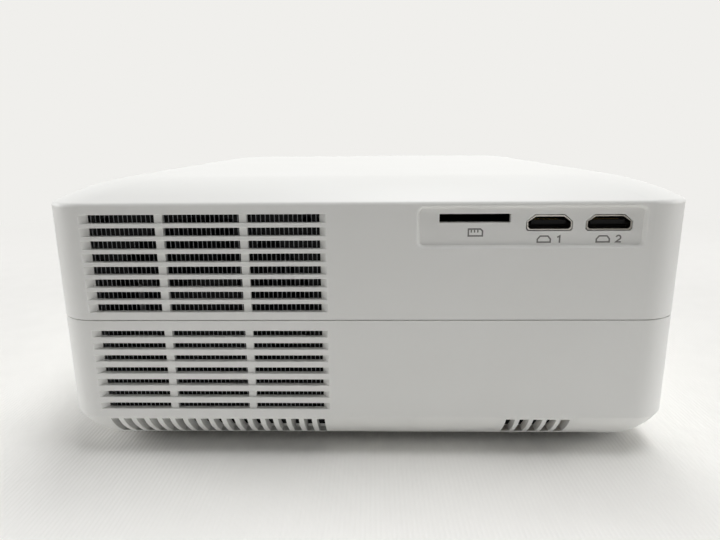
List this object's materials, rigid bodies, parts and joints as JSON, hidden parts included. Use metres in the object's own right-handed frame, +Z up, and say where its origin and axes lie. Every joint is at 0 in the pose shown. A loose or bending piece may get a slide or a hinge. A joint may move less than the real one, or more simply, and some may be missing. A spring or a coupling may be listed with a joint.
{
  "type": "projector with built in dvd player",
  "caption": "White moulded desk projector with a louvred rear, recessed card and video sockets, a focusing lens in front and a motorised disc tray in its side.",
  "frame": {"origin": "on the floor below the middle of the case", "axes": "+Z up; +Y the way the lens looks, so the louvred face with the sockets is at -Y; +X the way the disc tray opens"},
  "size_m": [0.226, 0.26, 0.1026],
  "materials": {
    "white_abs": "moulded, fine satin",
    "black_mesh": "satin black",
    "black_rubber": "matt",
    "steel": "zinc plated",
    "brass": "machined",
    "grey_plastic": "moulded satin",
    "black_plastic": "moulded satin",
    "aluminium": "extruded",
    "copper_board": "white solder resist",
    "led_dome": "clear phosphor dome",
    "clear_glass": "polished",
    "clear_acrylic": "grooved acrylic",
    "lcd_glass": "dark panel glass",
    "green_board": "solder resist",
    "tan_board": "phenolic",
    "socket_steel": "nickel plated",
    "smoke_plastic": "smoked polished",
    "light_pipe": "frosted",
    "nylon": "natural nylon",
    "magnet_steel": "black"
  },
  "bodies": {
    "case": {"top_cover": "white_abs", "bottom_case": "white_abs", "vent_mesh": "black_mesh", "rubber_feet": "black_rubber", "screws": "steel", "tripod_insert": "brass", "lens_bezel": "grey_plastic", "exhaust_fan_frame": "black_plastic", "intake_fan_frame": "black_plastic", "heat_sink": "aluminium", "led_board": "copper_board", "led_emitter": "led_dome", "engine_housing": "black_plastic", "engine_lid": "black_plastic", "condenser_lens": "clear_glass", "fresnel_plates": "clear_acrylic", "lcd_panel": "lcd_glass", "lens_tube": "black_plastic", "main_board": "green_board", "board_parts": "black_plastic", "board_heat_spreader": "aluminium", "socket_shells": "socket_steel", "socket_tongues": "black_plastic", "card_reader": "black_plastic", "audio_jacks": "black_plastic", "power_board": "tan_board", "power_parts": "magnet_steel", "mains_inlet": "black_plastic", "speaker": "magnet_steel", "key_board": "green_board", "key_switches": "black_plastic", "ir_window": "smoke_plastic", "status_lens": "light_pipe", "drive_chassis": "black_plastic", "clamp_bridge": "black_plastic", "load_motor": "socket_steel"},
    "exhaust_rotor": {"exhaust_fan_rotor": "black_plastic"},
    "intake_rotor": {"intake_fan_rotor": "black_plastic"},
    "barrel": {"lens_barrel": "black_plastic", "lens_elements": "clear_glass"},
    "ring": {"focus_ring": "grey_plastic"},
    "deck": {"deck": "black_plastic", "spindle_motor": "aluminium", "guide_rods": "steel", "sled_motor": "socket_steel"},
    "turntable": {"turntable": "black_plastic"},
    "sled": {"pickup_sled": "black_plastic"},
    "lead_screw": {"lead_screw": "steel"},
    "puck": {"clamp_puck": "black_plastic"},
    "tray": {"disc_tray": "black_plastic", "tray_door": "white_abs"},
    "tray_gear": {"tray_gear": "nylon"},
    "motor_pinion": {"motor_pinion": "nylon"},
    "key_power": {"key_power": "grey_plastic"},
    "key_source": {"key_source": "grey_plastic"},
    "key_left": {"key_left": "grey_plastic"},
    "key_play": {"key_play": "grey_plastic"},
    "key_right": {"key_right": "grey_plastic"},
    "key_eject": {"key_eject": "grey_plastic"}
  },
  "joints": [
    {"name": "exhaust_fan_spin", "type": "hinge", "parent": "case", "child": "exhaust_rotor", "pos_m": [-0.056, -0.11, 0.052], "axis": [0, 1, 0], "continuous": true},
    {"name": "intake_fan_spin", "type": "hinge", "parent": "case", "child": "intake_rotor", "pos_m": [-0.06, -0.015, 0.015], "axis": [0, 0, 1], "continuous": true},
    {"name": "focus_ring_turn", "type": "hinge", "parent": "case", "child": "ring", "pos_m": [-0.06, 0.1, 0.052], "axis": [0, 1, 0], "range_deg": [-150, 150]},
    {"name": "lens_focus_slide", "type": "slide", "parent": "case", "child": "barrel", "axis": [0, 1, 0], "range_m": [-0.0031, 0.0031]},
    {"name": "deck_lower", "type": "hinge", "parent": "case", "child": "deck", "pos_m": [-0.017, 0.048, 0.026], "axis": [0, 1, 0], "range_deg": [0, 3.5]},
    {"name": "disc_spin", "type": "hinge", "parent": "deck", "child": "turntable", "pos_m": [0.0475, 0.048, 0.03], "axis": [0, 0, 1], "continuous": true},
    {"name": "puck_spin", "type": "hinge", "parent": "case", "child": "puck", "pos_m": [0.0475, 0.048, 0.047], "axis": [0, 0, 1], "continuous": true},
    {"name": "pickup_travel", "type": "slide", "parent": "deck", "child": "sled", "axis": [-1, 0, 0], "range_m": [0, 0.033]},
    {"name": "lead_screw_turn", "type": "hinge", "parent": "deck", "child": "lead_screw", "pos_m": [0.01, 0.0715, 0.0295], "axis": [1, 0, 0], "range_deg": [-20, 3980]},
    {"name": "tray_slide", "type": "slide", "parent": "case", "child": "tray", "axis": [1, 0, 0], "range_m": [0, 0.12]},
    {"name": "tray_gear_turn", "type": "hinge", "parent": "case", "child": "tray_gear", "pos_m": [0.1, 0.09825, 0.03], "axis": [0, 0, 1], "range_deg": [-870, 10]},
    {"name": "motor_pinion_turn", "type": "hinge", "parent": "case", "child": "motor_pinion", "pos_m": [0.087, 0.09825, 0.03], "axis": [0, 0, 1], "range_deg": [-10, 1390]},
    {"name": "key_power_press", "type": "slide", "parent": "case", "child": "key_power", "axis": [0, -1, 0], "range_m": [0, 0.0008], "stiffness_N_per_m": 600},
    {"name": "key_source_press", "type": "slide", "parent": "case", "child": "key_source", "axis": [0, -1, 0], "range_m": [0, 0.0008], "stiffness_N_per_m": 600},
    {"name": "key_left_press", "type": "slide", "parent": "case", "child": "key_left", "axis": [0, -1, 0], "range_m": [0, 0.0008], "stiffness_N_per_m": 600},
    {"name": "key_play_press", "type": "slide", "parent": "case", "child": "key_play", "axis": [0, -1, 0], "range_m": [0, 0.0008], "stiffness_N_per_m": 600},
    {"name": "key_right_press", "type": "slide", "parent": "case", "child": "key_right", "axis": [0, -1, 0], "range_m": [0, 0.0008], "stiffness_N_per_m": 600},
    {"name": "key_eject_press", "type": "slide", "parent": "case", "child": "key_eject", "axis": [0, -1, 0], "range_m": [0, 0.0008], "stiffness_N_per_m": 600}
  ],
  "couplings": [
    {"joint": "lens_focus_slide", "follows": "focus_ring_turn", "m_per_rad": 0.001146},
    {"joint": "puck_spin", "follows": "disc_spin", "ratio": 1},
    {"joint": "lead_screw_turn", "follows": "pickup_travel", "rad_per_m": 2094.4},
    {"joint": "tray_gear_turn", "follows": "tray_slide", "rad_per_m": -125},
    {"joint": "motor_pinion_turn", "follows": "tray_slide", "rad_per_m": 200}
  ]
}
